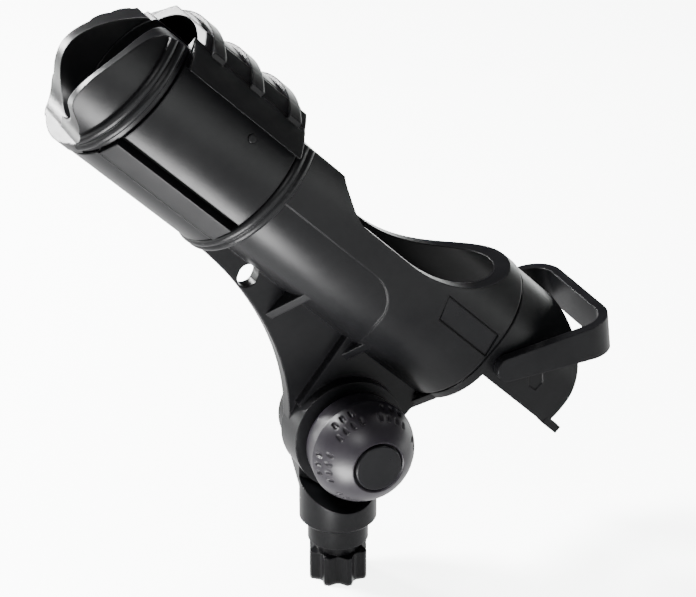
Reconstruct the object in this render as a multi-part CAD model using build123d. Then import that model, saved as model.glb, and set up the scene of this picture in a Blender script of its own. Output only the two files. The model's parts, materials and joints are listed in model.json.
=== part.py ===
from build123d import *
import os
from math import cos, radians, sin

# Tilting rod holder on a splined post. Millimetres, +Z up, front of the rod tube towards -X.
# The origin is the centre of the shoulder that rests on the deck socket; the post goes down from it.
# The cradle is drawn along its own tube axis (X = s towards the rear, Z = h) and then tilted.

# post
SHOULDER_R = 15.3
SHOULDER_CHAMFER = 1.2
SOCKET_R = 12.0
SOCKET_H = 8.7
NECK_R = 8.5
NECK_H = 4.7
SPLINE_R = 11.9
SPLINE_ROOT_R = 9.6
SPLINE_H = 12.3
SPLINE_TEETH = 8

# tilt joint: axis along Y at this height over the shoulder
PIVOT_Z = 42.0
TILT = 44.2
EAR_R = 19.0
EAR_NEAR = 5.4
EAR_FAR = 15.0
HUB_R = 22.5
HUB_NEAR = -12.0
HUB_FAR = 3.0
SCOOP_R = 34.0
SCOOP_TOP_R = 27.7
SCOOP_Y = -20.0
BOLT_R = 4.0
RUN_GAP = 0.05
BUSH_R = 6.5
HEAD_AF = 13.0
HEAD_Y = 8.5
HEAD_T = 4.0
COVER_R = 10.4
COVER_T = 2.2
BOLT_END = -33.0
RING_IN = 10.0
RING_OUT = 17.0
RING_T = 2.0
TOOTH_H = 1.0
TOOTH_W = 0.9
TEETH = 36

# knob
WASHER_R = 15.0
WASHER_T = 1.5
KNOB_BACK = -13.8
KNOB_R = 20.8
KNOB_WIDE_Y = -25.0
KNOB_FACE = -40.0
CAP_R = 9.2
CAP_T = 1.6
INSERT_AF = 13.0
INSERT_L = 11.0
GRIP_GROUPS = 6
DIMPLE_R = 1.0
DIMPLE_L = 1.7

# cradle, in its own frame; the pivot lies at (PIVOT_S, PIVOT_H)
PIVOT_S = 167.0
PIVOT_H = -55.0
TUBE_R = 26.8
BORE_R = 22.3
REAR_H = 8.8
NECK_TUBE_R = 28.5
NECK_BORE_R = 23.0
NECK_START = 2.4
NECK_END = 60.0
FLANGE_R = 32.3
FLANGE_END = 66.0
BEAD_R = 1.9
FLANGE_BEADS = (61.8, 64.6)
SLOT_H = 21.2
SADDLE_H = 11.3
FLOOR_END = 186.0
CHEEK_H = -4.3
SKIN = 0.6
WEB_T = 6.0
GUSSET_T = 3.6
GUSSETS = (110.0, 145.3)
HOLE_S = 91.6
HOLE_H = -30.6
BAIL_S = 190.7
BAIL_H = 3.9
TAIL_R = 34.8
HOOK_R = 40.6

# mouth ring
MOUTH_R = 32.4
MOUTH_BEADS = (-1.3, -4.7)
LIP_R = 33.6
LIP_START = -4.5
MOUTH_BORE = 28.6

# locking collar and its thumb grip; angles from the slot centre towards the knob side
COLLAR_START = 3.0
COLLAR_END = 59.4
COLLAR_IN = 28.9
COLLAR_OUT = 33.3
COLLAR_FLAT_H = 29.4
COLLAR_ARCH_START = 8.0
LAND_R = 34.1
LAND_TO = 140.2
COLLAR_FROM = -64.0
COLLAR_TO = 198.0
RECESS_FROM = 118.5
RECESS_TO = 124.6
RECESS_FLOOR = 29.5
GRIP_ARCH_R = 45.5
GRIP_TOP = 30.7
GRIP_SIDE = 33.4
GRIP_LOW_H = 16.0
GRIP_START = 3.4
GRIP_RIB = 1.7
GRIP_PITCH = 19.3
GRIP_RIB_Y = 24.0
GRIP_RIB_START = 11.2
GRIP_RIB_L = 5.8
GRIP_BAR_Y = 24.9
GRIP_BAR_ANGLE = 56.0
STOP_S = 40.0
STOP_ANGLE = 70.5
STOP_R = 1.6
COLLAR_TURN = 112.0

# bail
BAIL_LIFT = 51.2
BAIL_END_R = 5.0
BAIL_REACH = 48.0
BAIL_T = 3.8
BAIL_CORNER = 13.0
BAIL_WIDE = 14.6
BAIL_SIDE = 31.6
BADGE_GAP = 0.55
PIN_R = 2.4
PIN_END = 30.0

BIG = 120.0


def cradle_place(shape):
    """Move a shape from the tube's own frame to its place on the tilt axis."""
    return Location((0, 0, PIVOT_Z)) * Rotation(0, TILT, 0) * Location((-PIVOT_S, 0, -PIVOT_H)) * shape


def along_s(radius, start, end, height=0.0):
    """Cylinder along the tube axis."""
    body = Cylinder(radius, end - start)
    return Location(((start + end) / 2, 0, height)) * Rotation(0, 90, 0) * body


def along_y(radius, y0, y1, x=0.0, z=0.0):
    """Cylinder along the tilt axis direction."""
    body = Cylinder(radius, y1 - y0)
    return Location((x, (y0 + y1) / 2, z)) * Rotation(90, 0, 0) * body


def block(x0, x1, y0, y1, z0, z1):
    """Box between two corners."""
    return Location(((x0 + x1) / 2, (y0 + y1) / 2, (z0 + z1) / 2)) * Box(x1 - x0, y1 - y0, z1 - z0)


def side_prism(face, y0, y1):
    """Extrude a face drawn as (x, z) from y0 to y1."""
    solid = extrude(face, amount=y1 - y0)
    return Location((0, y1, 0)) * Rotation(90, 0, 0) * solid


def cross_prism(face, s0, s1):
    """Extrude a face drawn as (y, h) from s0 to s1."""
    solid = extrude(face, amount=s1 - s0)
    return Location((s0, 0, 0)) * Plane.YZ.location * solid


def sector(radius, a0, a1, s0, s1):
    """Wedge about the tube axis between two angles from the top, positive towards the knob side."""
    steps = 6
    angles = [radians(a0 + (a1 - a0) * i / steps) for i in range(steps + 1)]
    rim = [(-radius * sin(a), radius * cos(a)) for a in angles]
    return cross_prism(make_face(Polyline((0, 0), *rim, (0, 0))), s0, s1)


def bead(s, radius):
    """Round moulding around the tube."""
    return Location((s, 0, 0)) * Rotation(0, 90, 0) * Torus(radius, BEAD_R)


def hexagon(flats, y0, y1):
    """Hexagonal prism along Y on the tilt axis."""
    face = RegularPolygon(flats / 2, 6, major_radius=False)
    return Location((0, y1, PIVOT_Z)) * Rotation(90, 0, 0) * extrude(face, amount=y1 - y0)


def tube_profile(radius):
    """Two equal circles, one over the other, joined by flat sides."""
    walls = Location((0, REAR_H / 2)) * Rectangle(2 * radius, REAR_H)
    return Circle(radius) + walls + Location((0, REAR_H)) * Circle(radius)


def mouth_cut(top, lobe):
    """Side view of what the lobed mouth loses in front of one of its lobes."""
    start = (lobe[0][0], top)
    notch = (LIP_START, -MOUTH_BORE)
    rim = Spline(start, *lobe[1:], notch)
    low = Polyline(notch, (LIP_START, -LIP_R - 2), (-BIG, -LIP_R - 2), (-BIG, BIG), (20, BIG), (20, top), start)
    return make_face(Curve() + rim + low)


def make_base_post():
    shoulder = Cylinder(SHOULDER_R, 40.0, align=(Align.CENTER, Align.CENTER, Align.MIN))
    shoulder = chamfer(shoulder.edges().sort_by(Axis.Z)[0], SHOULDER_CHAMFER)
    half = [(10.5, 8), (15.2, 27.5), (EAR_R, PIVOT_Z)]
    flare = make_face(Polyline(*half, *[(-x, z) for x, z in reversed(half)], half[0]))
    ear = side_prism(flare, EAR_NEAR, EAR_FAR) + along_y(EAR_R, EAR_NEAR, EAR_FAR, 0, PIVOT_Z)
    ear &= block(-BIG, BIG, -BIG, BIG, 8, BIG)
    body = shoulder - block(-BIG, BIG, -BIG, EAR_NEAR, PIVOT_Z - 8, BIG)
    body -= block(-BIG, BIG, EAR_NEAR, BIG, 30, BIG)
    body += ear
    scoop = Cone(SCOOP_R, SCOOP_TOP_R, EAR_NEAR - SCOOP_Y)
    body -= Location((0, (SCOOP_Y + EAR_NEAR) / 2, PIVOT_Z)) * Rotation(-90, 0, 0) * scoop
    socket = Cylinder(SOCKET_R, SOCKET_H, align=(Align.CENTER, Align.CENTER, Align.MAX))
    stem_h = SOCKET_H + NECK_H + 1
    stem = Cylinder(NECK_R, stem_h, align=(Align.CENTER, Align.CENTER, Align.MAX))
    star = extrude(spline_face(), amount=SPLINE_H)
    star = Location((0, 0, -SOCKET_H - NECK_H - SPLINE_H)) * star
    body = body + socket + stem + star
    body -= along_y(BOLT_R + RUN_GAP, 0, BIG, 0, PIVOT_Z)
    body -= hexagon(HEAD_AF + 0.1, HEAD_Y, BIG)
    body -= along_y(COVER_R + 0.05, EAR_FAR - COVER_T, BIG, 0, PIVOT_Z)
    body -= ring_blank(EAR_NEAR - 1, EAR_NEAR + RING_T, 0.0)
    return body


def spline_face():
    """Eight-pointed star with a point on each axis."""
    points = []
    for i in range(2 * SPLINE_TEETH):
        middle = 180.0 / SPLINE_TEETH * i
        reach = SPLINE_R if i % 2 == 0 else SPLINE_ROOT_R
        for turn in (-4.5, 4.5):
            a = radians(middle + turn)
            points.append((reach * cos(a), reach * sin(a)))
    return make_face(Polyline(*points, points[0]))


def ring_blank(y0, y1, slack):
    """Plain ring about the tilt axis."""
    outer = along_y(RING_OUT - slack, y0, y1, 0, PIVOT_Z)
    return outer - along_y(RING_IN + slack, y0 - 1, y1 + 1, 0, PIVOT_Z)


def make_ratchet_ring(y0, y1, tooth0, tooth1):
    """Ring with radial teeth on one face."""
    ring = ring_blank(y0, y1, 0.0)
    reach = RING_OUT - RING_IN - 1.0
    mid = (RING_OUT + RING_IN) / 2
    tooth = Location((mid, (tooth0 + tooth1) / 2, 0)) * Box(reach, tooth1 - tooth0, TOOTH_W)
    lift = Location((0, 0, PIVOT_Z))
    teeth = [lift * Rotation(0, 360.0 / TEETH * i, 0) * tooth for i in range(TEETH)]
    return ring + teeth


def make_bolt():
    shaft = along_y(BOLT_R, BOLT_END, HEAD_Y + 1, 0, PIVOT_Z)
    return shaft + hexagon(HEAD_AF, HEAD_Y, HEAD_Y + HEAD_T)


def make_spring_washer():
    """Dished spring ring that pushes the two toothed rings apart."""
    profile = Polyline((4.6, 3.1), (9.2, 4.6), (9.2, 5.3), (4.6, 3.8), (4.6, 3.1))
    face = make_face(profile)
    return Location((0, 0, PIVOT_Z)) * revolve(Plane.XY * face, Axis.Y)


def knob_profile():
    """Half section of the knob shell as (radius, y)."""
    edge = Curve()
    edge += Polyline((9.0, KNOB_BACK), (17.6, KNOB_BACK), (19.4, KNOB_BACK - 1.8), (KNOB_R, KNOB_WIDE_Y))
    edge += ThreePointArc((KNOB_R, KNOB_WIDE_Y), (17.2, -33.6), (CAP_R + 1.2, KNOB_FACE))
    edge += Polyline(
        (CAP_R + 1.2, KNOB_FACE),
        (CAP_R + 0.45, KNOB_FACE + 0.7),
        (CAP_R + 0.45, KNOB_FACE + 1.6),
        (CAP_R - 1.4, KNOB_FACE + 1.6),
        (CAP_R - 1.4, KNOB_FACE + 6.0),
        (0, KNOB_FACE + 6.0),
        (0, KNOB_BACK),
        (9.0, KNOB_BACK),
    )
    return make_face(edge)


def dimple(row_r, row_y, angle, lean):
    """Short round-ended slot in the knob's shoulder, along its meridian."""
    slot = Cylinder(DIMPLE_R, DIMPLE_L)
    slot += [Location((0, 0, end * DIMPLE_L / 2)) * Sphere(DIMPLE_R) for end in (-1, 1)]
    slot = Location((row_r, row_y, 0)) * Rotation(90, 0, 0) * Rotation(0, lean, 0) * slot
    return Location((0, 0, PIVOT_Z)) * Rotation(0, angle, 0) * slot


def make_knob_shell():
    shell = Location((0, 0, PIVOT_Z)) * revolve(knob_profile(), Axis.Y)
    shell -= hexagon(INSERT_AF, KNOB_BACK - INSERT_L, 0)
    shell -= along_y(BOLT_R + 0.3, KNOB_FACE + 5, 0, 0, PIVOT_Z)
    cuts = []
    for group in range(GRIP_GROUPS):
        middle = 360.0 / GRIP_GROUPS * group
        for i in range(4):
            cuts.append(dimple(17.9, -33.2, middle + (i - 1.5) * 11.6, -38))
        for i in range(3):
            cuts.append(dimple(19.9, -28.6, middle + (i - 1) * 11.0, -18))
    return shell - cuts


def make_knob_insert():
    nut = hexagon(INSERT_AF, KNOB_BACK - INSERT_L, KNOB_BACK - 0.1)
    return nut - along_y(BOLT_R + RUN_GAP, -BIG, 0, 0, PIVOT_Z)


def make_knob_cap():
    cap = along_y(CAP_R, KNOB_FACE - 0.5, KNOB_FACE + CAP_T, 0, PIVOT_Z)
    return fillet(cap.edges().sort_by(Axis.Y)[0], 0.6)


def web_face():
    """Side view of the plate that joins the tube to the hub."""
    left = Spline((66, -33.0), (98, -37.4), (126, -48.5), (150.2, -69.0))
    rest = Polyline((150.2, -69.0), (PIVOT_S, PIVOT_H), (PIVOT_S + 15.8, PIVOT_H - 16.0))
    right = Polyline((PIVOT_S + 15.8, PIVOT_H - 16.0), (FLOOR_END, -34.5), (FLOOR_END, 0), (66, 0), (66, -33.0))
    return make_face(Curve() + left + rest + right)


def saddle_face():
    """Side view of the rod slot and of the saddle opening behind it."""
    line = Polyline((-BIG, 90), (-BIG, SLOT_H), (83, SLOT_H))
    dip = Spline((83, SLOT_H), (90, 16.4), (104, SADDLE_H), tangents=((0.7, -0.7), (1, 0)))
    floor = Line((104, SADDLE_H), (127, SADDLE_H))
    rise = ThreePointArc((127, SADDLE_H), (154, 17.3), (177.2, 38.0))
    top = Polyline((177.2, 38.0), (177.2, 90), (-BIG, 90))
    return make_face(Curve() + line + dip + floor + rise + top)


def skin_face():
    """Side view of the upper skin, which ends in a bent parting line."""
    line = Line((FLANGE_END - 1, 0.2), (118, 0.2))
    bend = ThreePointArc((118, 0.2), (131.3, -5.4), (135.2, -13))
    low = Spline((135.2, -13), (138.2, -19), (145, -26.5))
    rest = Polyline((145, -26.5), (145, -27.5), (230, -27.5), (230, 60), (FLANGE_END - 1, 60), (FLANGE_END - 1, 0.2))
    return make_face(Curve() + line + bend + low + rest)


def make_cradle_body():
    outer = cross_prism(tube_profile(TUBE_R), FLANGE_END - 2, 232)
    skin = cross_prism(tube_profile(TUBE_R + SKIN), FLANGE_END - 2, 181.0)
    skin &= side_prism(skin_face(), -BIG, BIG)
    body = outer + skin
    body -= block(FLOOR_END, BIG * 3, -BIG, BIG, -BIG, CHEEK_H)
    front = Location((BAIL_S - 100, 0, 0)) * Box(200, 2 * BIG, 2 * BIG)
    body &= front + along_y(TAIL_R, -BIG, BIG, BAIL_S, BAIL_H)
    body += along_s(NECK_TUBE_R, NECK_START, FLANGE_END)
    body += along_s(FLANGE_R, NECK_END, FLANGE_END)
    body += [bead(s, FLANGE_R) for s in FLANGE_BEADS]
    body += side_prism(web_face(), -WEB_T / 2, WEB_T / 2)
    body += along_y(HUB_R, HUB_NEAR, HUB_FAR, PIVOT_S, PIVOT_H)
    boss = make_face(Polyline((140, -24), (143.5, -58), (167, -62), (184.6, -62), (184.6, -24), (140, -24)))
    body += side_prism(boss, HUB_NEAR + 5.0, WEB_T / 2 - 0.2)
    for s in GUSSETS:
        low = -38.0
        plate = Polyline((-3, low), (3, low), (20.5, -15), (20.5, 0), (-20.5, 0), (-20.5, -15), (-3, low))
        body += cross_prism(make_face(plate), s - GUSSET_T / 2, s + GUSSET_T / 2)
    half = [(2.5, -36), (12.7, -24.3), (20.9, -12), (TUBE_R - 0.6, -4.5), (TUBE_R, 5)]
    end = Polyline(*half, *[(-y, h) for y, h in reversed(half)], half[0])
    body += cross_prism(make_face(end), FLOOR_END - 3.5, FLOOR_END)
    body -= cross_prism(tube_profile(BORE_R), 70, 300)
    body -= along_s(NECK_BORE_R, -BIG, 78)
    body -= cross_prism(Rectangle(2 * BORE_R, 2 * BIG), FLOOR_END, 300) & block(0, 300, -BIG, BIG, -BIG, 5)
    body -= side_prism(saddle_face(), -BIG, BIG)
    hook = block(TAIL_R + BAIL_S - 2.5, HOOK_R + BAIL_S, -TUBE_R, TUBE_R, CHEEK_H - 0.4, CHEEK_H + 2.8)
    hook -= block(0, 400, -BORE_R, BORE_R, -BIG, BIG)
    body += hook
    hole = Location((HOLE_S, HOLE_H)) * SlotOverall(9.4, 8.0, rotation=110)
    body -= side_prism(hole, -BIG, BIG)
    groove = cross_prism(tube_profile(TUBE_R + 2) - tube_profile(TUBE_R - 0.7), 181.0, 182.4)
    body -= groove
    body -= side_prism(badge_face(BADGE_GAP), -TUBE_R - 2, -TUBE_R + 0.5)
    body -= along_y(BUSH_R, -BIG, BIG, PIVOT_S, PIVOT_H)
    body -= along_y(PIN_R, -BIG, BIG, BAIL_S, BAIL_H)
    body -= side_prism(arrow_face(), -TUBE_R - 1, -TUBE_R + 0.4)
    body -= cradle_ring()
    body -= stop_groove()
    return cradle_place(body)


def cradle_ring():
    """Recess for the moving toothed ring, in the tube's own frame."""
    outer = along_y(RING_OUT, HUB_FAR - RING_T, HUB_FAR + 1, PIVOT_S, PIVOT_H)
    return outer - along_y(RING_IN, HUB_FAR - RING_T - 1, HUB_FAR + 2, PIVOT_S, PIVOT_H)


def stop_groove():
    """Track in the neck for the collar's stop pin."""
    track = along_s(COLLAR_IN, STOP_S - 2.2, STOP_S + 2.2) - along_s(NECK_TUBE_R - 2.4, 0, 60)
    return track & sector(60, STOP_ANGLE - 4.5, STOP_ANGLE + COLLAR_TURN + 4.5, 0, 60)


def arrow_face():
    """Plain pointer on the near cheek, upright in the pose shown."""
    turn = radians(TILT)
    points = [(-3.0, 3.2), (-3.0, -1.2), (0.0, -3.8), (3.0, -1.2), (3.0, 3.2)]
    points = [(207.4 + x * cos(turn) - z * sin(turn), 6.4 + x * sin(turn) + z * cos(turn)) for x, z in points]
    return make_face(Polyline(*points, points[0]))


def badge_face(slack):
    """Four-sided blank panel."""
    low, high = 2.4 - slack, 11.0 + slack
    corners = [(150.2 - slack, high), (153.8 - slack, low), (180.4 + slack, low), (178.6 + slack, high)]
    return make_face(Polyline(*corners, corners[0]))


def make_badge_plate():
    return cradle_place(side_prism(badge_face(0.0), -TUBE_R - SKIN + 0.4, -TUBE_R + 0.5))


def make_mouth_ring():
    ring = along_s(MOUTH_R, -32, NECK_START)
    beads = [bead(s, MOUTH_R) for s in MOUTH_BEADS]
    sides = sector(60, 40, 153, -20, NECK_START) + sector(60, -153, -40, -20, NECK_START)
    ring += [moulding & sides for moulding in beads]
    ring += along_s(LIP_R, LIP_START - 1, NECK_START - 1) & sector(60, 153, 207, -20, 20)
    near = [(-3, SLOT_H), (-11, 17.8), (-18.6, 4.5), (-21.6, -9), (-19.2, -17.8), (-13.0, -21.5)]
    far = [(1.5, SLOT_H - 1.6), (-3.4, 11.3), (-8.2, 1.5), (-10.2, -7), (-8.2, -15), (-5.2, -20.5)]
    ring -= side_prism(mouth_cut(SLOT_H, near), -BIG, 0)
    ring -= side_prism(mouth_cut(SLOT_H - 1.6, far), 0, BIG)
    ring &= block(-23, NECK_START, -BIG, BIG, -BIG, BIG)
    flare = Location((-12, 0, 0)) * Rotation(0, 90, 0) * Cone(MOUTH_R - 1.6, NECK_BORE_R, 32)
    ring -= flare
    return cradle_place(ring - along_s(NECK_BORE_R, -BIG, BIG))


def make_collar():
    shell = along_s(COLLAR_OUT, COLLAR_START, COLLAR_END) - along_s(COLLAR_IN, 0, 80)
    shell &= sector(60, COLLAR_FROM, COLLAR_TO, 0, 80)
    shell -= block(0, 80, -GRIP_SIDE, GRIP_SIDE, COLLAR_FLAT_H, 60)
    land = polar_face((30, RECESS_TO), (LAND_R, RECESS_TO), (LAND_R, LAND_TO), (30, LAND_TO))
    shell += cross_prism(land, COLLAR_START, COLLAR_END)
    slot = polar_face((44, RECESS_FROM), (RECESS_FLOOR, RECESS_FROM), (RECESS_FLOOR, RECESS_TO), (44, RECESS_TO))
    step = polar_face((44, LAND_TO), (31.8, LAND_TO), (31.8, LAND_TO + 2.6), (44, LAND_TO + 2.6))
    shell -= cross_prism(slot, 0, 80) + cross_prism(step, 0, 80)
    shell -= arch_relief()
    shell -= stop_pin(0.0)
    return cradle_place(shell)


def polar_face(*corners):
    """Face across the tube from (radius, angle) corners; angles as in sector."""
    points = [(-r * sin(radians(a)), r * cos(radians(a))) for r, a in corners]
    return make_face(Polyline(*points, points[0]))


def arch_relief():
    """What the collar's arch leaves open over the slot at its front end."""
    return block(0, COLLAR_ARCH_START, -21.5, BIG, 10, BIG)


def stop_pin(slack):
    """Headed pin through the collar wall into the neck's track."""
    pin = Cylinder(STOP_R + slack, 7.0, align=(Align.CENTER, Align.CENTER, Align.MIN))
    pin = Location((STOP_S, 0, NECK_TUBE_R - 1.6)) * pin
    return Rotation(STOP_ANGLE, 0, 0) * pin


def make_stop_pin():
    return cradle_place(stop_pin(0.0) & along_s(COLLAR_OUT + 0.35, 0, 80))


def make_thumb_grip():
    centre = GRIP_TOP - GRIP_ARCH_R
    arch = Location((0, centre)) * Circle(GRIP_ARCH_R) & Rectangle(2 * GRIP_SIDE, 2 * BIG)
    arch &= Location((0, GRIP_LOW_H + 50)) * Rectangle(2 * BIG, 100)
    ribs = Location((0, centre)) * Circle(GRIP_ARCH_R + GRIP_RIB) & Rectangle(2 * GRIP_RIB_Y, 2 * BIG)
    ribs &= Location((0, GRIP_LOW_H + 50)) * Rectangle(2 * BIG, 100)
    whole = cross_prism(arch, GRIP_START, COLLAR_END)
    grip = whole & block(0, 80, -GRIP_BAR_Y, GRIP_BAR_Y, 0, 60)
    for side in (-1, 1):
        grip += whole & bar_mask(side)
        grip -= block(0, 80, side * GRIP_RIB_Y - 0.45, side * GRIP_RIB_Y + 0.45, 24.0, 60)
    for i in range(3):
        start = GRIP_RIB_START + i * GRIP_PITCH
        grip += cross_prism(ribs, start, min(start + GRIP_RIB_L, COLLAR_END))
    grip -= arch_relief()
    core = along_s(COLLAR_OUT, 0, 80) & block(0, 80, -BIG, BIG, -BIG, COLLAR_FLAT_H)
    return cradle_place(grip - core)


def bar_mask(side):
    """Round-cornered block that shapes the ends of one side bar of the grip."""
    plan = fillet(Rectangle(COLLAR_END - GRIP_START, 14.0).vertices(), 3.2)
    middle = Location(((GRIP_START + COLLAR_END) / 2, 0, 20))
    mask = Rotation(-side * GRIP_BAR_ANGLE, 0, 0) * middle * extrude(plan, amount=30)
    return mask - block(0, 80, -GRIP_BAR_Y, GRIP_BAR_Y, 0, 60)


def make_bail():
    plan_outer = Rectangle(2 * BAIL_REACH, 2 * BAIL_SIDE)
    plan_outer = fillet(plan_outer.vertices(), BAIL_CORNER)
    plan_inner = fillet(Rectangle(2 * (BAIL_REACH - BAIL_T), 2 * (BAIL_SIDE - BAIL_T)).vertices(), BAIL_CORNER - BAIL_T)
    band = extrude(plan_outer - plan_inner, amount=30, both=True)
    half = BAIL_WIDE / 2
    arm = make_face(Polyline((0, -BAIL_END_R), (BAIL_REACH, -half), (BAIL_REACH, half), (0, BAIL_END_R), (0, -BAIL_END_R)))
    side = side_prism(arm, -BIG, BIG) + along_y(BAIL_END_R, -BIG, BIG)
    bail = band & side
    bail -= along_y(PIN_R + RUN_GAP, -PIN_END - 0.1, PIN_END + 0.1)
    return cradle_place(Location((BAIL_S, 0, BAIL_H)) * Rotation(0, -BAIL_LIFT, 0) * bail)


def make_bail_pin(side):
    """Plain pin through one cheek and into the blind hole of a bail arm."""
    pin = along_y(PIN_R, BORE_R + 0.2, PIN_END, BAIL_S, BAIL_H)
    pin = chamfer(pin.edges().sort_by(Axis.Y)[-1], 0.3)
    if side < 0:
        pin = mirror(pin, Plane.XZ)
    return cradle_place(pin)


def make_bail_washer(side):
    """Thin spacer between a cheek and a bail arm."""
    y0, y1 = TUBE_R, BAIL_SIDE - BAIL_T - 0.05
    ring = along_y(4.6, y0, y1, BAIL_S, BAIL_H) - along_y(PIN_R + RUN_GAP, 0, BIG, BAIL_S, BAIL_H)
    if side < 0:
        ring = mirror(ring, Plane.XZ)
    return cradle_place(ring)


def make_hub_bush():
    tube = along_y(BUSH_R, HUB_NEAR, HUB_FAR, 0, PIVOT_Z)
    return tube - along_y(BOLT_R + RUN_GAP, -BIG, BIG, 0, PIVOT_Z)


def make_thrust_washer():
    ring = along_y(WASHER_R, HUB_NEAR - WASHER_T, HUB_NEAR, 0, PIVOT_Z)
    return ring - along_y(BOLT_R + RUN_GAP, -BIG, BIG, 0, PIVOT_Z)


def make_bolt_cover():
    disc = along_y(COVER_R, EAR_FAR - COVER_T, EAR_FAR + 0.6, 0, PIVOT_Z)
    return fillet(disc.edges().sort_by(Axis.Y)[-1], 0.8)


def main():
    os.makedirs("parts", exist_ok=True)
    nodes = {
        "base_post": make_base_post(),
        "fixed_ratchet_ring": make_ratchet_ring(EAR_NEAR, EAR_NEAR + RING_T, EAR_NEAR - TOOTH_H, EAR_NEAR + 0.2),
        "spring_washer": make_spring_washer(),
        "tilt_bolt": make_bolt(),
        "bolt_cover": make_bolt_cover(),
        "cradle_body": make_cradle_body(),
        "moving_ratchet_ring": make_ratchet_ring(HUB_FAR - RING_T, HUB_FAR, HUB_FAR - 0.2, HUB_FAR + TOOTH_H),
        "hub_bush": make_hub_bush(),
        "thrust_washer": make_thrust_washer(),
        "badge_plate": make_badge_plate(),
        "mouth_ring": make_mouth_ring(),
        "locking_collar": make_collar(),
        "collar_stop_pin": make_stop_pin(),
        "thumb_grip": make_thumb_grip(),
        "bail": make_bail(),
        "bail_pin_right": make_bail_pin(-1),
        "bail_pin_left": make_bail_pin(1),
        "bail_washer_right": make_bail_washer(-1),
        "bail_washer_left": make_bail_washer(1),
        "knob_shell": make_knob_shell(),
        "knob_insert": make_knob_insert(),
        "knob_cap": make_knob_cap(),
    }
    for name, shape in nodes.items():
        solids = shape.solids()
        print(name, len(solids), round(sum(s.volume for s in solids), 1))
        export_step(Compound(children=solids) if len(solids) > 1 else solids[0], f"parts/{name}.step")


main()
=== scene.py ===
import json
from math import cos, radians, sin

import bpy
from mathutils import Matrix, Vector


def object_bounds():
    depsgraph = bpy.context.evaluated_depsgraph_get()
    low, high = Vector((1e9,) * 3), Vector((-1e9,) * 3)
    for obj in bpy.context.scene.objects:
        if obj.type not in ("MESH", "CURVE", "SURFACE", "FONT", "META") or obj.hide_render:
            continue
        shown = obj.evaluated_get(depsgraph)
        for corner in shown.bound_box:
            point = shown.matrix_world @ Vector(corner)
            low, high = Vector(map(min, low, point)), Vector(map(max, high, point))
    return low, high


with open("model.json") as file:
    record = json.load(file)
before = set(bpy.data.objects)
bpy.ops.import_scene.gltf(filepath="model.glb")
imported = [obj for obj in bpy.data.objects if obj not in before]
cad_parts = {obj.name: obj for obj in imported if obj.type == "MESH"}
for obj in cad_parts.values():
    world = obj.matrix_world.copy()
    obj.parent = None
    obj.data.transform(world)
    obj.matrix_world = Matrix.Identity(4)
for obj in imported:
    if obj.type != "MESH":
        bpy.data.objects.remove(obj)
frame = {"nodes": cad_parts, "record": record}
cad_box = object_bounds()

MM = 0.001

# Camera: angles in degrees, lengths in metres, lens in millimetres.
AZIMUTH = -22.8
ELEVATION = 25.15
DISTANCE = 0.930
TARGET = Vector((0.0044, 0.0002, 0.0939))
LENS = 126.65

FLOOR_GLOW = 5.2
# Glow of the card that paints shade into the reflections on the undersides.
CARD_GLOW = 1.7
WORLD_STRENGTH = 0.06
EDGE_SHADE = 0.8 * MM

# Bevel width in millimetres, where it isn't PLAIN_EDGE.
PLAIN_EDGE = 0.35
EDGES = {"cradle_body": 0.8, "mouth_ring": 0.9, "locking_collar": 0.9, "thumb_grip": 1.1,
         "bail": 1.2}

# Softboxes: name, azimuth, elevation, distance, size, power.
LIGHTS = [
    ("key", -128, 50, 1.2, (0.28, 0.28), 85),
    ("back_left", -153, 20, 1.2, (0.20, 0.26), 30),
    ("left", -70, 28, 1.3, (0.25, 0.8), 1.6),
    ("right", 100, 49, 1.2, (0.16, 0.16), 12),
    ("front", -30, 44, 1.6, (0.7, 0.4), 16),
]

# Nylons: dark and light colour, lowest and highest roughness, grain, specular level.
NYLONS = {
    "cradle_plastic": ((0.0014, 0.0014, 0.0017), (0.0028, 0.0028, 0.0031), 0.27, 0.38, 0.25, 0.10),
    "collar_plastic": ((0.0011, 0.0011, 0.0014), (0.0025, 0.0025, 0.0028), 0.25, 0.36, 0.25, 0.10),
    "grip_plastic": ((0.0014, 0.0014, 0.0017), (0.0028, 0.0028, 0.0031), 0.26, 0.38, 0.25, 0.10),
    "knob_plastic": ((0.0040, 0.0032, 0.0047), (0.0070, 0.0060, 0.0080), 0.32, 0.42, 0.25, 0.20),
    "cap_plastic": ((0.0016, 0.0016, 0.0020), (0.0034, 0.0034, 0.0038), 0.24, 0.34, 0.15, 0.10),
    "base_plastic": ((0.0018, 0.0018, 0.0021), (0.0036, 0.0036, 0.0040), 0.26, 0.36, 0.25, 0.10),
    "bail_plastic": ((0.0016, 0.0016, 0.0020), (0.0034, 0.0034, 0.0038), 0.28, 0.40, 0.35, 0.08),
    "acetal": ((0.0022, 0.0022, 0.0025), (0.0040, 0.0040, 0.0043), 0.25, 0.35, 0.1, 0.10),
}

# Metals: dark and light colour, roughness.
METALS = {
    "stainless": ((0.50, 0.50, 0.51), (0.66, 0.66, 0.67), 0.22),
    "brass": ((0.56, 0.40, 0.18), (0.70, 0.54, 0.27), 0.28),
}


# ---------------------------------------------------------------- materials

def new_material(name):
    mat = bpy.data.materials.new(name)
    mat.use_nodes = True
    tree = mat.node_tree
    tree.nodes.clear()
    out = tree.nodes.new("ShaderNodeOutputMaterial")
    shader = tree.nodes.new("ShaderNodeBsdfPrincipled")
    tree.links.new(shader.outputs["BSDF"], out.inputs["Surface"])
    return mat, tree, shader


def object_coords(tree, scale=(1, 1, 1)):
    coords = tree.nodes.new("ShaderNodeTexCoord")
    mapping = tree.nodes.new("ShaderNodeMapping")
    mapping.inputs["Scale"].default_value = scale
    tree.links.new(coords.outputs["Object"], mapping.inputs["Vector"])
    return mapping.outputs["Vector"]


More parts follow.
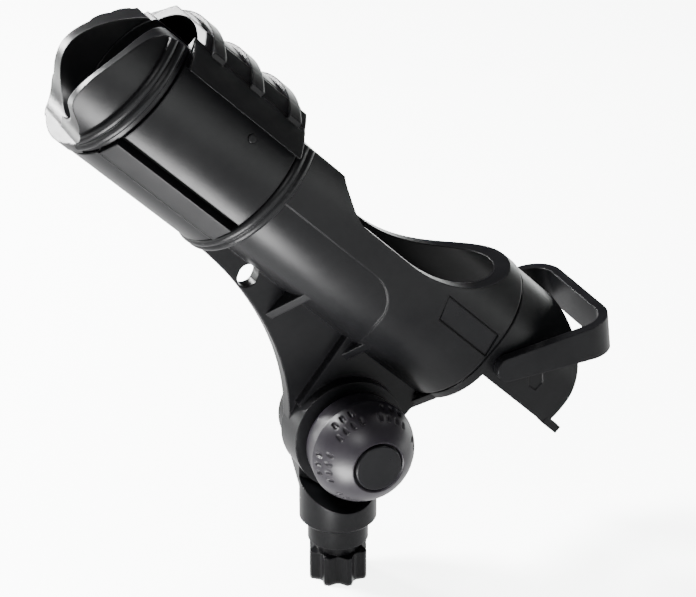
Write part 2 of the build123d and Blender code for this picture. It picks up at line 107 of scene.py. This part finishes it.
def noise(tree, vector, scale, detail=3.0, rough=0.55):
    node = tree.nodes.new("ShaderNodeTexNoise")
    node.inputs["Scale"].default_value = scale
    node.inputs["Detail"].default_value = detail
    node.inputs["Roughness"].default_value = rough
    tree.links.new(vector, node.inputs["Vector"])
    return node.outputs["Fac"]


def ramp(tree, value, stops):
    node = tree.nodes.new("ShaderNodeValToRGB")
    element = node.color_ramp.elements
    for i, (at, colour) in enumerate(stops):
        stop = element[i] if i < 2 else element.new(at)
        stop.position = at
        stop.color = (*colour, 1)
    tree.links.new(value, node.inputs["Fac"])
    return node.outputs["Color"]


def spread(tree, value, low, high):
    node = tree.nodes.new("ShaderNodeMapRange")
    node.inputs["To Min"].default_value = low
    node.inputs["To Max"].default_value = high
    tree.links.new(value, node.inputs["Value"])
    return node.outputs["Result"]


def bumped(tree, shader, layers):
    """Rounds the shading of edges, then stacks bump layers: (height, strength, distance)."""
    edge = tree.nodes.new("ShaderNodeBevel")
    edge.samples = 4
    edge.inputs["Radius"].default_value = EDGE_SHADE
    normal = edge.outputs["Normal"]
    for height, strength, distance in layers:
        node = tree.nodes.new("ShaderNodeBump")
        node.inputs["Strength"].default_value = strength
        node.inputs["Distance"].default_value = distance
        tree.links.new(height, node.inputs["Height"])
        tree.links.new(normal, node.inputs["Normal"])
        normal = node.outputs["Normal"]
    tree.links.new(normal, shader.inputs["Normal"])


def nylon(name, dark, light, rough_low, rough_high, grain, specular):
    """Black moulded nylon: slow flow marks and fine spark-eroded grain."""
    mat, tree, shader = new_material(name)
    vector = object_coords(tree)
    flow = noise(tree, object_coords(tree, (1.0, 2.2, 1.0)), 38.0, 4.0, 0.6)
    fine = noise(tree, vector, 2600.0, 2.0, 0.6)
    soft = noise(tree, vector, 160.0, 4.0, 0.6)
    colour = ramp(tree, flow, [(0.3, dark), (0.75, light)])
    tree.links.new(colour, shader.inputs["Base Color"])
    tree.links.new(spread(tree, soft, rough_low, rough_high), shader.inputs["Roughness"])
    shader.inputs["Specular IOR Level"].default_value = specular
    shader.inputs["IOR"].default_value = 1.53
    bumped(tree, shader, [(fine, grain, 0.00006), (soft, 0.10, 0.0003)])
    return mat


def metal(name, dark, light, rough):
    """Turned metal with fine rings about its axis."""
    mat, tree, shader = new_material(name)
    drawn = noise(tree, object_coords(tree, (60.0, 900.0, 60.0)), 6.0, 3.0, 0.5)
    colour = ramp(tree, drawn, [(0.3, dark), (0.7, light)])
    tree.links.new(colour, shader.inputs["Base Color"])
    tree.links.new(spread(tree, drawn, rough, rough + 0.15), shader.inputs["Roughness"])
    shader.inputs["Metallic"].default_value = 1.0
    bumped(tree, shader, [(drawn, 0.15, 0.00005)])
    return mat


def pale_floor():
    mat, tree, shader = new_material("floor")
    mottling = noise(tree, object_coords(tree), 3.0, 2.0, 0.4)
    colour = ramp(tree, mottling, [(0.2, (0.86, 0.87, 0.86)), (0.8, (0.90, 0.90, 0.90))])
    tree.links.new(colour, shader.inputs["Base Color"])
    shader.inputs["Roughness"].default_value = 0.8
    shader.inputs["Emission Color"].default_value = (0.97, 1.0, 0.98, 1)
    shader.inputs["Emission Strength"].default_value = FLOOR_GLOW
    return mat


MATERIALS = {name: nylon(name, *values) for name, values in NYLONS.items()}
MATERIALS.update({name: metal(name, *values) for name, values in METALS.items()})


def dress_cad_nodes():
    """Gives every CAD node its material and a bevel.

    The bevel catches few edges, as the CAD's faces don't share vertices. EDGE_SHADE
    softens the rest in the material.
    """
    slots = {part["node"]: part["material_slot"] for part in frame["record"]["subparts"]}
    for name, obj in frame["nodes"].items():
        obj.data.materials.clear()
        obj.data.materials.append(MATERIALS[slots[name]])
        bevel = obj.modifiers.new("soft_edge", "BEVEL")
        bevel.width = EDGES.get(name, PLAIN_EDGE) * MM
        bevel.segments = 3
        bevel.limit_method = "ANGLE"
        bevel.angle_limit = radians(32)
        bevel.harden_normals = True


# ---------------------------------------------------------------- stage

def direction(azimuth, elevation):
    a, e = radians(azimuth), radians(elevation)
    return Vector((sin(a) * cos(e), -cos(a) * cos(e), sin(e)))


def aim(obj, target):
    obj.rotation_euler = (target - obj.location).to_track_quat("-Z", "Y").to_euler()


def make_camera():
    data = bpy.data.cameras.new("camera")
    data.sensor_fit = "HORIZONTAL"
    data.sensor_width = 36.0
    data.lens = LENS
    data.clip_start = 0.01
    camera = bpy.data.objects.new("camera", data)
    camera.location = TARGET + direction(AZIMUTH, ELEVATION) * DISTANCE
    aim(camera, TARGET)
    bpy.context.collection.objects.link(camera)
    bpy.context.scene.camera = camera


def softbox(name, azimuth, elevation, distance, size, power):
    data = bpy.data.lights.new(name, "AREA")
    data.shape = "RECTANGLE"
    data.size, data.size_y = size
    data.energy = power
    light = bpy.data.objects.new(name, data)
    light.location = TARGET + direction(azimuth, elevation) * distance
    aim(light, TARGET)
    bpy.context.collection.objects.link(light)
    return light


def reflection_card(location, size):
    """Glowing card dimmer than the floor, seen only in reflections: painted shade that keeps the
    undersides dark.
    """
    bpy.ops.mesh.primitive_plane_add(size=size, location=location)
    card = bpy.context.object
    card.name = "reflected_shade_card"
    mat, _, shader = new_material("card")
    shader.inputs["Base Color"].default_value = (0.01, 0.01, 0.01, 1)
    shader.inputs["Roughness"].default_value = 0.9
    shader.inputs["Emission Color"].default_value = (1, 1, 1, 1)
    shader.inputs["Emission Strength"].default_value = CARD_GLOW
    card.data.materials.append(mat)
    card.visible_camera = False
    card.visible_shadow = False
    card.visible_diffuse = False
    return card


def make_stage():
    low = cad_box[0][2]
    bpy.ops.mesh.primitive_plane_add(size=12, location=(0, 0, low))
    floor = bpy.context.object
    floor.name = "floor"
    floor.data.materials.append(pale_floor())
    # Card seen only in reflections: painted shade on the undersides.
    reflection_card((-0.06, -0.05, low + 1 * MM), 1.1)
    for light in LIGHTS:
        softbox(*light)
    table = softbox("table", 0, 0, 1, (0.13, 0.10), 3.0)
    table.location = (-0.125, -0.115, low + 2 * MM)
    table.rotation_euler = (radians(180), 0, 0)
    table.visible_camera = False
    world = bpy.data.worlds.new("studio")
    world.use_nodes = True
    background = world.node_tree.nodes["Background"]
    background.inputs["Color"].default_value = (1, 1, 1, 1)
    background.inputs["Strength"].default_value = WORLD_STRENGTH
    bpy.context.scene.world = world


make_camera()
make_stage()
dress_cad_nodes()
